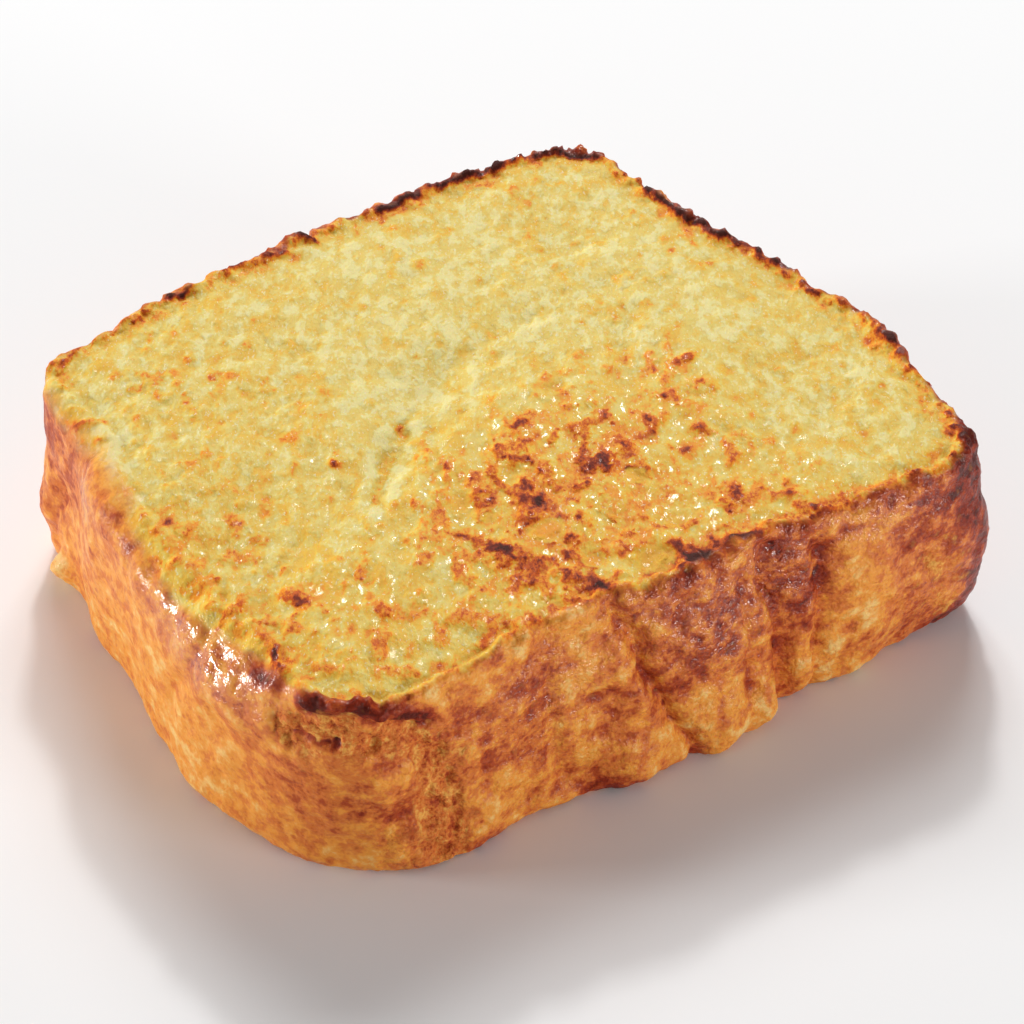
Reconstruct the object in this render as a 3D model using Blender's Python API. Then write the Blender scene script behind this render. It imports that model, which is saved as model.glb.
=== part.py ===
"""A thick slice of brioche french toast, lying flat on the cut face: one solid.

Metres, +Z up through the thickness. The slice's loaf stood with its domed top
towards -Y and its base crust towards +Y, so +X and -X are the crusts that
were against the sides of the tin. The origin is under the slice's middle.
"""

import math

import bmesh
import bpy
from mathutils import Vector, noise

MM = 0.001

# Driving dimensions
WIDTH = 99.0 * MM  # across the loaf, side crust to side crust
LENGTH = 116.0 * MM  # dome to base crust
THICKNESS = 33.5 * MM
MIDDLE = (-0.8 * MM, -1.2 * MM)  # of the plain outline, before its swellings
TAPER = 2.5 * MM  # half width gained towards the base and lost towards the dome
DOME_SQUARENESS = 5.4  # superellipse powers: the dome's corners are the rounder ones
BASE_SQUARENESS = 7.4
TOP_EDGE = 1.2 * MM  # rounding of the cut edge above
DOME_ROLL = 3.4 * MM  # and how much rounder it is above the domed crust
DOME_ROLL_ENDS = (-134.0, -112.0, -64.0, -53.0)  # bearings it comes in between, and goes out between
LOW_EDGE = 2.4 * MM  # rounding of the softer edge below

# Local swellings of the outline: bearing from +X in degrees, spread in degrees, size
OUTLINE_SWELLS = (
    (-46, 7, 3.2 * MM),  # the shoulder where dome and side crust meet
    (-20, 12, -2.6 * MM),  # waist of the side crust
    (17, 9, -1.1 * MM),
    (45, 6, 2.6 * MM),  # corner of the base
    (72, 8, 2.9 * MM),
    (93, 15, 1.0 * MM),
    (118, 16, -3.8 * MM),  # hollow of the base crust
    (178, 12, 1.8 * MM),
    (-160, 10, 0.4 * MM),
    (-140, 5, -0.9 * MM),
    (-118, 10, -5.4 * MM),  # the far shoulder, cut back
)
# How far the crust stands out of the cut edge half way down, and at its foot: the same columns
BELLY = 1.0 * MM
BELLY_SWELLS = (
    (-44, 12, -0.6 * MM),
    (42, 12, 2.6 * MM),
)
FOOT = 0.6 * MM
FOOT_SWELLS = (
    (-21, 24, 3.2 * MM),
    (9, 10, 2.8 * MM),
    (-47, 7, -2.8 * MM),
    (-74, 9, 2.0 * MM),
    (-98, 9, -1.8 * MM),
    (-123, 9, 1.6 * MM),
    (41, 5, -2.0 * MM),
    (50, 5, 1.8 * MM),
    (33, 4, 1.2 * MM),
    (-37, 5, 1.4 * MM),
    (-9, 4, 1.0 * MM),
    (-27, 3, -0.8 * MM),
)

# Creases that run down the crust: bearing at the top and at the foot, half width in degrees,
# depth, and the heights between which each one shows, as shares of the thickness
CREASES = (
    (-12.0, 2.4, 1.8, 1.6 * MM, 0.00, 0.95),
    (11.4, 14.8, 1.2, 0.7 * MM, 0.20, 0.85),
    (17.0, 20.8, 1.5, 1.4 * MM, 0.00, 0.92),
    (26.0, 26.4, 1.4, 1.2 * MM, 0.00, 0.90),
    (-26.0, -19.0, 1.6, 0.6 * MM, 0.10, 0.80),
    (-69.0, -86.0, 1.8, 0.9 * MM, 0.40, 0.97),
    (-121.0, -124.0, 1.8, 1.4 * MM, 0.00, 0.60),
    (150.0, 153.0, 1.8, 1.2 * MM, 0.00, 0.90),
    (-168.0, -171.0, 2.0, 1.1 * MM, 0.05, 0.85),
    (96.0, 92.0, 1.8, 0.9 * MM, 0.00, 0.80),
)
# Bulges of the crust and, where less than nothing, hollows: bearing, height as a share of the
# thickness, spread of both, size
BULGES = (
    (-9, 0.13, 6, 0.16, 1.2 * MM),  # pillows between the creases
    (7, 0.13, 5, 0.16, 1.9 * MM),
    (15.5, 0.13, 3, 0.16, 2.2 * MM),
    (23, 0.13, 3, 0.16, 0.8 * MM),
    (168, 0.13, 9, 0.16, 1.2 * MM),
    (-140, 0.13, 8, 0.16, 1.4 * MM),
    (-63, 0.81, 9, 0.12, 2.0 * MM),  # where the dome's roll stands out
    (-86, 0.83, 6, 0.12, 0.8 * MM),
    (-126, 0.30, 5, 0.13, 1.4 * MM),  # the far shoulder
    (-127, 0.62, 5, 0.13, -1.0 * MM),
    (-121, 0.11, 2.4, 0.07, 3.0 * MM),  # a loose flap of crumb
)

# Ragged shreds where the crust tore as the loaf rose, each a path of bearing and height in mm:
# round the top of the shoulder and down its side, and at the corner of the base
TEARS = (
    ((-56, 26), (-49, 28), (-42.5, 26), (-39.5, 20), (-39, 12), (-38, 3)),
    ((40, 19), (43, 7)),
)
TEAR_WIDTH = 2.6 * MM
TEAR_DEPTH = 1.3 * MM
# A nick in the cut edge of the far side: bearing, half width in degrees, depth
NICK = (178.0, 0.9, 2.2 * MM)

# The cut face: the part that touched the pan stands up, a fold runs beside it
PAN_PATCH = (22.0 * MM, -6.0 * MM, 26.0 * MM, 0.9 * MM)  # x, y, spread, height
FOLD = tuple(  # along its valley
    (x * MM, y * MM) for x, y in ((-16, 20), (-12, 8), (-9, -3), (-3, -12), (4, -19), (10, -26), (9, -36))
)
FOLD_MIDDLE = (-4.0 * MM, -9.0 * MM)  # it is deepest here and fades away from here
FOLD_WIDTH = 3.6 * MM
FOLD_DEPTH = 0.9 * MM
EDGE_ROLL = 0.3 * MM  # the cut face drops this far just inside the crust
EDGE_ROLL_WIDTH = 9.0 * MM

# Unevenness: grain size and height of the crust's lumps, the crumb's bumps and the rim's crags
CRUST_LUMP = (13.0 * MM, 0.75 * MM)
CRUMB_WAVE = (24.0 * MM, 0.8 * MM)
CRUMB_BUMP = (5.5 * MM, 0.35 * MM)
RIM_CRAG = (3.6 * MM, 0.9 * MM)
RIM_WIDTH = 3.0 * MM
# Where the crisp rim stands above the cut face: bearing, spread, height
RIM_RISE = (
    (67, 6, 1.3 * MM),
    (103, 20, 0.6 * MM),
    (152, 22, 0.4 * MM),
    (-168, 18, 0.4 * MM),
)

# Facets: grid counts across, along and down, and how far the grid crowds towards the edges
COUNTS = (46, 52, 13)
CROWDING = 0.16

CRUST_COLOUR = (0.56, 0.22, 0.065, 1.0)
CRUMB_COLOUR = (0.76, 0.56, 0.18, 1.0)


def bell(distance, spread):
    """1 at no distance, falling smoothly to nothing over about twice the spread."""
    return math.exp(-((distance / spread) ** 2))


def ramp(value, low, high):
    """0 below low, 1 above high, smooth between."""
    share = min(1.0, max(0.0, (value - low) / (high - low)))
    return share * share * (3.0 - 2.0 * share)


def turn(a, b):
    """Degrees from bearing b to bearing a, the short way round."""
    return (a - b + 180.0) % 360.0 - 180.0


def swelling(bearing, swells):
    """Sum of the (bearing, spread, size) swellings at this bearing."""
    return sum(size * bell(turn(bearing, at), spread) for at, spread, size in swells)


def lumps(point, grain, height, octaves=2):
    """Smooth unevenness of this grain size, between about -height and height."""
    return height * noise.fractal(point / grain, 1.0, 2.0, octaves, noise_basis="PERLIN_ORIGINAL")


def outline(bearing):
    """Distance from the middle to the edge of the cut face, in plan."""
    angle = math.radians(bearing)
    towards_base = math.sin(angle)
    half_width = WIDTH / 2 + TAPER * towards_base
    power = DOME_SQUARENESS + (BASE_SQUARENESS - DOME_SQUARENESS) * ramp(towards_base, -0.5, 0.5)
    across = abs(math.cos(angle) / half_width) ** power
    along = abs(towards_base / (LENGTH / 2)) ** power
    return (across + along) ** (-1.0 / power) + swelling(bearing, OUTLINE_SWELLS)


def top_rounding(bearing):
    """Radius of the edge between the cut face and the crust."""
    start, full, fading, end = DOME_ROLL_ENDS
    return TOP_EDGE + DOME_ROLL * ramp(bearing, start, full) * (1 - ramp(bearing, fading, end))


def edge_profile(share, rounding):
    """(inset from the crust, height) at this share of the way from the top face down to the underside."""
    top_arc = math.pi / 2 * rounding
    low_arc = math.pi / 2 * LOW_EDGE
    wall = THICKNESS - rounding - LOW_EDGE
    run = share * (top_arc + wall + low_arc)
    if run < top_arc:
        angle = run / rounding
        return rounding * (1 - math.sin(angle)), THICKNESS - rounding * (1 - math.cos(angle))
    if run < top_arc + wall:
        return 0.0, THICKNESS - rounding - (run - top_arc)
    angle = (top_arc + wall + low_arc - run) / LOW_EDGE
    return LOW_EDGE * (1 - math.sin(angle)), LOW_EDGE * (1 - math.cos(angle))


def crease_depth(bearing, height):
    """How deep the creases cut the crust here. height is a share of the thickness."""
    depth = 0.0
    for top, low, half_width, most, start, end in CREASES:
        at = low + (top - low) * height
        shown = ramp(height, start - 0.08, start + 0.08) * (1 - ramp(height, end - 0.10, end + 0.10))
        depth += most * shown * bell(turn(bearing, at), half_width)
    return depth


def distance_to_path(x, y, path):
    """Distance of (x, y) from the path, a run of straight legs."""
    here = Vector((x, y))
    best = math.inf
    for start, end in zip(path, path[1:]):
        start = Vector(start)
        leg = Vector(end) - start
        along = min(1.0, max(0.0, (here - start).dot(leg) / leg.length_squared))
        best = min(best, (here - start - along * leg).length)
    return best


def tear_depth(bearing, point):
    """Depth of the shreds, rough inside."""
    depth = 0.0
    for path in TEARS:
        if min(abs(turn(bearing, at)) for at, up in path) > 12:
            continue
        reach = outline(bearing)
        unrolled = [(math.radians(at) * reach, up * MM) for at, up in path]
        distance = distance_to_path(math.radians(bearing) * reach, point.z, unrolled)
        rough = 1.0 + 0.9 * noise.noise(point / (2.5 * MM))
        depth += TEAR_DEPTH * rough * bell(distance, TEAR_WIDTH)
    return depth


def crust_offset(bearing, height, point):
    """How far the crust stands out of the plain outline."""
    belly = (BELLY + swelling(bearing, BELLY_SWELLS)) * math.sin(math.pi * height) ** 0.8
    foot = (FOOT + swelling(bearing, FOOT_SWELLS)) * (1 - height)
    bulge = sum(
        size * bell(turn(bearing, at), wide) * bell(height - up, tall) for at, up, wide, tall, size in BULGES
    )
    cuts = crease_depth(bearing, height) + tear_depth(bearing, point)
    rim = ramp(height, 0.86, 0.97) * lumps(point, *RIM_CRAG)
    at, half_width, most = NICK
    nick = most * bell(turn(bearing, at), half_width) * ramp(height, 0.7, 0.9)
    return belly + foot + bulge - cuts + rim - nick + lumps(point, *CRUST_LUMP)


def face_relief(x, y, from_edge, bearing):
    """Height of the cut face above its plain level, from_edge inside the crust."""
    at_x, at_y, spread, height = PAN_PATCH
    point = Vector((x, y, 0.0))
    relief = height * bell(math.hypot(x - at_x, y - at_y), spread)
    fading = 1 - ramp(math.hypot(x - FOLD_MIDDLE[0], y - FOLD_MIDDLE[1]), 10.0 * MM, 30.0 * MM)
    relief -= FOLD_DEPTH * fading * bell(distance_to_path(x, y, FOLD), FOLD_WIDTH)
    relief -= EDGE_ROLL * (1 - ramp(from_edge, 0.0, EDGE_ROLL_WIDTH)) * ramp(from_edge, 0.0, TOP_EDGE)
    relief += lumps(point, *CRUMB_WAVE) + lumps(point, *CRUMB_BUMP)
    rim = lumps(point, *RIM_CRAG) + swelling(bearing, RIM_RISE)
    return relief + (1 - ramp(from_edge, 0.0, RIM_WIDTH)) * rim


def place(across, along, up):
    """The point of the slice for a point of the 2 x 2 x 2 box."""
    crowd = 1.0 + CROWDING
    u = across * (crowd - CROWDING * across * across)
    v = along * (crowd - CROWDING * along * along)
    bearing = math.degrees(math.atan2(v * LENGTH, u * WIDTH))
    ring = max(abs(u), abs(v))
    reach = outline(bearing)
    direction = Vector((math.cos(math.radians(bearing)), math.sin(math.radians(bearing)), 0.0))
    middle = Vector((*MIDDLE, 0.0))
    on_side = ring > 1.0 - 1e-6
    way_down = (1.0 - up) / 2.0 if on_side else float(up < 0)
    inset, height = edge_profile(way_down, top_rounding(bearing))
    share = height / THICKNESS
    rim = middle + direction * reach + Vector((0.0, 0.0, height))
    offset = crust_offset(bearing, share, rim)
    radius = (reach + offset - inset) * min(ring, 1.0)
    point = middle + direction * radius + Vector((0.0, 0.0, height))
    if share > 0.5:
        from_edge = max(0.0, reach + offset - radius)
        point.z += face_relief(point.x, point.y, from_edge, bearing) * ramp(share, 0.55, 0.95)
    return point


def grid_box(name):
    """A box primitive, cut into a grid along each axis."""
    bpy.ops.mesh.primitive_cube_add(size=2.0)
    box = bpy.context.object
    box.name = box.data.name = name
    mesh = bmesh.new()
    mesh.from_mesh(box.data)
    for axis, count in enumerate(COUNTS):
        edges = [e for e in mesh.edges if abs((e.verts[0].co - e.verts[1].co)[axis]) > 1e-6]
        bmesh.ops.subdivide_edges(mesh, edges=edges, cuts=count - 1, use_grid_fill=True)
    mesh.to_mesh(box.data)
    mesh.free()
    return box


def centre(vertices):
    """Moves the points so that the slice's box is centred over the origin."""
    for axis in (0, 1):
        places = [vertex.co[axis] for vertex in vertices]
        middle = (min(places) + max(places)) / 2
        for vertex in vertices:
            vertex.co[axis] -= middle


def shape(box):
    """Moves every point of the box to the slice, and makes the flat underside one face."""
    for vertex in box.data.vertices:
        vertex.co = place(*vertex.co)
    centre(box.data.vertices)
    mesh = bmesh.new()
    mesh.from_mesh(box.data)
    floor = [f for f in mesh.faces if f.normal.z < -0.9999 and f.calc_center_median().z < 1e-6]
    edges = {e for f in floor for e in f.edges if all(g in floor for g in e.link_faces)}
    bmesh.ops.dissolve_edges(mesh, edges=list(edges), use_verts=True)
    bmesh.ops.triangulate(mesh, faces=mesh.faces[:])
    mesh.to_mesh(box.data)
    mesh.free()


def finish(name, colour, roughness):
    """A plain finish of this colour."""
    material = bpy.data.materials.new(name)
    material.use_nodes = True
    surface = material.node_tree.nodes["Principled BSDF"]
    surface.inputs["Base Color"].default_value = colour
    surface.inputs["Roughness"].default_value = roughness
    return material


def main():
    for obj in list(bpy.data.objects):
        bpy.data.objects.remove(obj)
    slice_of_toast = grid_box("toast_slice")
    shape(slice_of_toast)
    slice_of_toast.data.materials.append(finish("crust", CRUST_COLOUR, 0.45))
    slice_of_toast.data.materials.append(finish("crumb", CRUMB_COLOUR, 0.6))
    for face in slice_of_toast.data.polygons:
        face.material_index = 1 if abs(face.normal.z) > 0.7 else 0
    slice_of_toast.data.shade_smooth()
    parts = bpy.data.collections.new("brioche_french_toast")
    bpy.context.scene.collection.children.link(parts)
    for owner in list(slice_of_toast.users_collection):
        owner.objects.unlink(slice_of_toast)
    parts.objects.link(slice_of_toast)


main()
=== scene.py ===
"""Looks of a thick slice of brioche french toast, laid flat.

The loaf's domed, egg-washed crust faces -Y, its base crust +Y, and the crusts
that were against the sides of the tin +X and -X. The cut faces are above and
below. Everything is in metres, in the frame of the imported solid.
"""

import math

import bmesh
import bpy
import numpy as np
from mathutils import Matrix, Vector, noise


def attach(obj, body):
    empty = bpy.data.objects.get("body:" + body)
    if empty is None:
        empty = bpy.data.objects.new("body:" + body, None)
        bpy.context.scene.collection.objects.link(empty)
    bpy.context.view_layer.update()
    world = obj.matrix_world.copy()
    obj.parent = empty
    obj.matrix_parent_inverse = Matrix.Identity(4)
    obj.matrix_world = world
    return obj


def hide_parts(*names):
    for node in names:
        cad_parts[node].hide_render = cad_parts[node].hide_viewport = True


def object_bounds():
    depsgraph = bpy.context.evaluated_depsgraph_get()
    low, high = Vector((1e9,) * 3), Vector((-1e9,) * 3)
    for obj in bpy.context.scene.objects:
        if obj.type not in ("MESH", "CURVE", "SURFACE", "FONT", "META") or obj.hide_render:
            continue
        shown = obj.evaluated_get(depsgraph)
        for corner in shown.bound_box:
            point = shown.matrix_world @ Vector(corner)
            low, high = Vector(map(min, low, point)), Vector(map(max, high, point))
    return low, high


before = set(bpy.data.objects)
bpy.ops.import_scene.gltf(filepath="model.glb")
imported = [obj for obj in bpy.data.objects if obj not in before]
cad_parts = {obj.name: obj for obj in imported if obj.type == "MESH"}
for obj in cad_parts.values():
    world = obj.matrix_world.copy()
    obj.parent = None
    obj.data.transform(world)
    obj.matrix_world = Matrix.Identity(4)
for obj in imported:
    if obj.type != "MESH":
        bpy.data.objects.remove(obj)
SOLID_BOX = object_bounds()

bl_info = {
    "name": "Brioche french toast",
    "version": (1, 0, 0),
    "blender": (4, 5, 0),
    "location": "3D View > Sidebar > French toast",
    "description": "A thick griddled slice of brioche with a browned crust, and the stage it is shown on",
    "category": "Object",
}

MM = 0.001
# Faces along the slice's width, length and thickness, and the share kept once it is thinned near the floor
GRID = (202, 226, 52)
KEPT_SHARE = 0.725
NEAR_FLOOR = 0.4 * MM

# The form. Bearings are in degrees from +X round towards +Y, heights are shares of the thickness.
# Local swellings of the outline: bearing, spread, size
OUTLINE_SWELLS = (
    (-46, 7, 3.2 * MM),
    (-20, 12, -2.6 * MM),
    (17, 9, -1.1 * MM),
    (45, 6, 2.6 * MM),
    (72, 8, 2.9 * MM),
    (93, 15, 1.0 * MM),
    (118, 16, -3.8 * MM),
    (178, 12, 1.8 * MM),
    (-160, 10, 0.4 * MM),
    (-140, 5, -0.9 * MM),
    (-118, 10, -5.4 * MM),
)
# The middle that bearings are taken about, in plan
HUB = (-0.8 * MM, -1.2 * MM)
# Where the crust is the loaf's dome, and where its upper edge rolls over: from, fully from, fully to, to
DOME = (-140.0, -122.0, -50.0, -43.0)
DOME_ROLL = (-134.0, -112.0, -64.0, -53.0)
# How far the crust stands out halfway up and at the foot: evenly, and more at bearings as above
BELLY = 1.0 * MM
BELLY_SWELLS = (
    (-44, 12, -0.6 * MM),
    (42, 12, 2.6 * MM),
)
FOOT = 0.6 * MM
FOOT_SWELLS = (
    (-21, 24, 3.2 * MM),
    (9, 10, 2.8 * MM),
    (-47, 7, -2.8 * MM),
    (-74, 9, 2.0 * MM),
    (-98, 9, -1.8 * MM),
    (-123, 9, 1.6 * MM),
    (41, 5, -2.0 * MM),
    (50, 5, 1.8 * MM),
    (33, 4, 1.2 * MM),
    (-37, 5, 1.4 * MM),
    (-9, 4, 1.0 * MM),
    (-27, 3, -0.8 * MM),
)
# Creases down the crust: bearing at the top and at the foot, half width, depth, height from and to
CREASES = (
    (-12.0, 2.4, 1.8, 1.6 * MM, 0.00, 0.95),
    (11.4, 14.8, 1.2, 0.7 * MM, 0.20, 0.85),
    (17.0, 20.8, 1.5, 1.4 * MM, 0.00, 0.92),
    (26.0, 26.4, 1.4, 1.2 * MM, 0.00, 0.90),
    (-26.0, -19.0, 1.6, 0.6 * MM, 0.10, 0.80),
    (-69.0, -86.0, 1.8, 0.9 * MM, 0.40, 0.97),
    (-121.0, -124.0, 1.8, 1.4 * MM, 0.00, 0.60),
    (150.0, 153.0, 1.8, 1.2 * MM, 0.00, 0.90),
    (-168.0, -171.0, 2.0, 1.1 * MM, 0.05, 0.85),
    (96.0, 92.0, 1.8, 0.9 * MM, 0.00, 0.80),
)
# Bulges of the crust: bearing, height, spread of both, size
BULGES = (
    (-9, 0.13, 6, 0.16, 1.2 * MM),
    (7, 0.13, 5, 0.16, 1.9 * MM),
    (15.5, 0.13, 3, 0.16, 2.2 * MM),
    (23, 0.13, 3, 0.16, 0.8 * MM),
    (168, 0.13, 9, 0.16, 1.2 * MM),
    (-140, 0.13, 8, 0.16, 1.4 * MM),
    (-66, 0.75, 12, 0.15, 2.2 * MM),
    (-86, 0.83, 6, 0.12, 0.8 * MM),
    (-126, 0.30, 5, 0.13, 1.4 * MM),
    (-127, 0.62, 5, 0.13, -1.0 * MM),
    (-121, 0.11, 2.4, 0.07, 3.0 * MM),
)
# Shreds where the crust tore, each a path of bearing and height in mm
TEARS = (
    ((-56, 26), (-49, 28), (-42.5, 26), (-39.5, 20), (-39, 12), (-38, 3)),
    ((40, 19), (43, 7)),
)
TEAR_OPENNESS = (1.0, 0.35)
TEAR_WIDTH = 2.6 * MM
# The slit in the rim: bearing, half width, depth
NICK = (178.0, 0.9, 2.2 * MM)
# Where the crisp rim stands above the cut face: bearing, spread, height
RIM_RISE = (
    (67, 6, 1.3 * MM),
    (103, 20, 0.6 * MM),
    (152, 22, 0.4 * MM),
    (-168, 18, 0.4 * MM),
)
# The raised part of the cut face, which touched the pan: x, y and spread in mm
PAN_PATCH = (22.0, -6.0, 26.0)
# The crumb's grain runs along this bearing, and is this much longer than wide
GRAIN_BEARING = -34.0
GRAIN_LENGTH = 1.5
# The fold beside the raised part, the middle it fades away from, and the crevice in it: x and y in mm
FOLD = ((-16, 20), (-12, 8), (-9, -3), (-3, -12), (4, -19), (10, -26), (9, -36))
FOLD_MIDDLE = (-4.0, -9.0)
CREVICE = ((-4, -11), (-1, -14), (2, -17), (5, -21), (9, -24.5), (12, -27))
# Holes in the crumb that show on the cut face: x, y, radius and depth, in mm
HOLES = (
    (43.5, -1.8, 3.4, 1.0),
    (38.9, -8.5, 1.9, 0.9),
    (30.5, -10.5, 2.8, 0.8),
    (18.6, -17.0, 1.8, 0.8),
    (23.4, -15.6, 1.6, 0.6),
    (27.6, 7.0, 2.2, 0.6),
    (38.4, 5.6, 2.0, 0.5),
    (22.0, 14.0, 1.6, 0.5),
    (4.5, 10.0, 1.2, 0.6),
    (15.0, 33.0, 1.5, 0.7),
    (5.0, 22.0, 1.3, 0.6),
    (18.0, 26.0, 1.0, 0.8),
    (-22.0, 4.0, 1.5, 0.6),
    (-30.0, 26.0, 1.3, 0.6),
    (-8.0, 40.0, 1.4, 0.5),
)
# Scorch marks left by the griddle: x, y, half length, half width in mm, bearing, darkness
SCORCHES = (
    (26, -20, 3.0, 1.1, 30, 0.75),
    (30, -18, 4.6, 1.5, 30, 1.0),
    (37, -15, 2.4, 0.9, 50, 0.55),
    (41, -12, 3.6, 0.8, 25, 0.60),
    (43.5, -11, 2.0, 1.1, 0, 0.9),
    (9, 0, 2.8, 1.0, -75, 0.8),
    (16, -5, 3.0, 1.0, 40, 0.75),
    (18.5, -13.5, 4.0, 1.3, -10, 0.85),
    (24, -8.5, 2.6, 1.3, 55, 0.85),
    (26.5, -10.5, 1.7, 0.9, -45, 0.85),
    (22.5, 4.5, 1.6, 0.8, 55, 0.8),
    (21, 9.5, 2.6, 1.1, 0, 0.75),
    (18, 16, 1.5, 0.8, 15, 0.7),
    (24, 21.5, 1.7, 0.8, 40, 0.7),
    (10, 29.5, 1.3, 0.7, 80, 0.75),
    (15, 21, 1.5, 0.8, 35, 0.65),
    (16, 28, 1.2, 0.6, 35, 0.6),
    (39, 17, 2.8, 1.5, 20, 0.85),
    (39, 14, 2.8, 1.0, 5, 0.75),
    (43, 23, 2.5, 0.8, 75, 0.65),
    (40, -3, 1.7, 1.0, 75, 0.7),
    (43, 3, 2.0, 0.8, 15, 0.8),
    (47, 4, 2.6, 1.1, 35, 0.85),
    (47, 11.5, 2.3, 0.7, 75, 0.7),
    (31, -5, 1.3, 0.7, 0, 0.65),
    (23, -46.5, 2.3, 0.9, 20, 0.85),
    (27, -50, 0.9, 0.7, 40, 0.55),
    (39, -29.5, 3.0, 1.0, 40, 0.52),
    (32, -37.5, 2.8, 0.8, 35, 0.46),
    (37, -50, 2.2, 0.7, 40, 0.52),
    (42, -43, 2.2, 0.7, 60, 0.54),
    (0.8, -27, 0.5, 0.4, 0, 0.95),
    (3, -45, 1.6, 0.8, 0, 0.65),
    (-32.5, -38.5, 1.7, 0.7, 20, 0.6),
    (-29, -52, 2.2, 0.7, 55, 1.0),
    (-24, -51.5, 0.6, 0.4, 20, 0.95),
)
# How strongly the cut face browned, away from its faint average: x, y, spread in mm, amount
BROWNING = (
    (22, -4, 16, 0.42),
    (36, -16, 11, 0.20),
    (12, 20, 12, 0.16),
    (34, 10, 12, 0.20),
    (30, -40, 13, 0.19),
    (42, 26, 10, 0.14),
    (8, -50, 12, 0.10),
    (-5, -28, 12, 0.06),
    (-28, -40, 12, 0.06),
    (-22, 12, 22, -0.10),
    (2, 44, 14, -0.06),
    (-8, -8, 8, -0.20),
)
# Where crumb and dome blend softly, and where the crags are calmer: bearing, spread
SOFT_END = (-112, 20)
CALM_END = (-104, 28)
# Where the crust of the dome begins, down from the cut edge: bearing, distance in mm
CRUST_START = (
    (-136, 0.4),
    (-126, 2.4),
    (-113, 2.4),
    (-107, 0.6),
    (-98, 0.2),
    (-90, 3.0),
    (-84, 4.2),
    (-70, 3.8),
    (-63, 2.6),
    (-58, 1.4),
    (-54, 0.8),
    (-50, 0.0),
    (-43, 0.3),
)
# The curled dark lip over the torn corner, the singed edge beside it and the crack under it:
# bearing and height in mm
LIP = ((-54.0, 32.2), (-50.0, 33.0), (-46.0, 32.6), (-43.0, 31.2), (-40.6, 29.6))
SINGED = ((-62.0, 31.2), (-60.0, 31.6), (-57.5, 32.4))
LIP_CRACK = ((-55.5, 26.2), (-52.5, 25.6), (-50.0, 26.6))
# How dark the edge of the cut face is: bearing, spread, amount
EDGE_BROWNING = (
    (100, 34, 0.52),
    (66, 7, 0.34),
    (48, 7, 0.44),
    (128, 8, 0.54),
    (156, 22, 0.60),
    (-168, 20, 0.60),
    (-131, 5, 0.75),
    (-60, 2.6, 0.60),
    (-38, 3, 0.25),
    (6, 9, 0.40),
    (28, 9, 0.38),
    (-21, 9, 0.08),
)
# Where the cut face turns golden towards its edge: bearing, spread, amount
GOLDEN_EDGE = (
    (-116, 18, 0.03),
    (-26, 14, 0.12),
    (10, 22, 0.16),
    (-85, 14, 0.06),
)
# Where the crust is glossiest: bearing, height, spreads of both, amount
GLOSSY = (
    (7, 0.72, 9, 0.26, 1.0),
    (21, 0.80, 5, 0.22, 0.8),
    (34, 0.90, 7, 0.10, 0.7),
    (-22, 0.65, 10, 0.25, 0.5),
    (-6, 0.90, 6, 0.15, 0.6),
    (50, 0.50, 6, 0.90, 0.1),
    (90, 0.50, 40, 0.90, 0.3),
    (-71, 0.88, 12, 0.14, 1.0),
    (-108, 0.86, 4, 0.10, 0.5),
)
# How far the crust is baked: evenly, and more or less at a bearing and height, with spreads of both
BAKED_EVENLY = 0.44
BAKED = (
    (7, 0.72, 9, 0.26, 0.24),
    (8, 0.98, 10, 0.08, 0.03),
    (21, 0.80, 4, 0.25, 0.08),
    (-24, 0.68, 7, 0.18, 0.12),
    (-17, 0.88, 6, 0.12, -0.22),
    (-9, 0.60, 4, 0.24, 0.04),
    (-9, 0.88, 4, 0.10, -0.14),
    (-6, 0.42, 7, 0.18, 0.12),
    (-34, 0.55, 4, 0.40, 0.05),
    (-30, 0.92, 8, 0.10, -0.22),
    (32, 0.55, 6, 0.30, -0.06),
    (42, 0.92, 5, 0.14, 0.20),
    (50, 0.50, 8, 0.80, 0.40),
    (-13, 0.04, 4, 0.07, 0.42),
    (-4, 0.14, 9, 0.14, -0.12),
    (12, 0.12, 9, 0.16, -0.24),
    (30, 0.15, 9, 0.25, -0.14),
    (-28, 0.12, 9, 0.20, -0.18),
    (-53, 0.44, 9, 0.26, 0.20),
    (-72, 0.86, 16, 0.16, 0.03),
    (-80, 0.25, 22, 0.30, -0.11),
    (-122, 0.50, 16, 0.60, 0.03),
    (-124, 0.85, 12, 0.25, 0.24),
    (-100, 0.80, 16, 0.25, 0.06),
    (-121, 0.10, 2.6, 0.08, -0.6),
    (90, 0.50, 38, 0.80, 0.22),
    (180, 0.60, 30, 0.40, 0.14),
    (165, 0.10, 40, 0.20, -0.10),
)

# Colours of the crumb, the crust and the tear, from the least to the most browned, at these stops
CRUMB_STOPS = (0.0, 0.14, 0.30, 0.46, 0.62, 0.80, 1.0)
CRUST_STOPS = (0.0, 0.25, 0.45, 0.62, 0.80, 1.0)
SHRED_STOPS = (0.17, 0.32, 0.47, 0.74)
CRUMB_SHADES = [f"crumb_{name}" for name in ("cream", "pale", "gold", "tan", "brown", "dark", "char")]
CRUST_SHADES = [f"crust_{name}" for name in ("pale", "gold", "orange", "red", "dark", "char")]
SHRED_SHADES = ["crust_dark", "crust_red", "crust_orange", "torn"]

# The stage: where the camera is and looks, and each light's name, place and size
CAMERA_PLACE = (0.29066, -0.19618, 0.3060)
CAMERA_TARGET = (0.00729, 0.00006, 0.01675)
LIGHTS = (
    ("key", (-1.28, 0.91, 1.63), (0.96, 0.96)),
    ("glint", (-1.37, 0.98, 1.49), (0.17, 0.17)),
    ("side", (-0.46, -0.77, 0.11), (0.22, 0.10)),
    ("fill", (0.88, 0.38, 0.13), (0.34, 0.16)),
)


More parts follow.
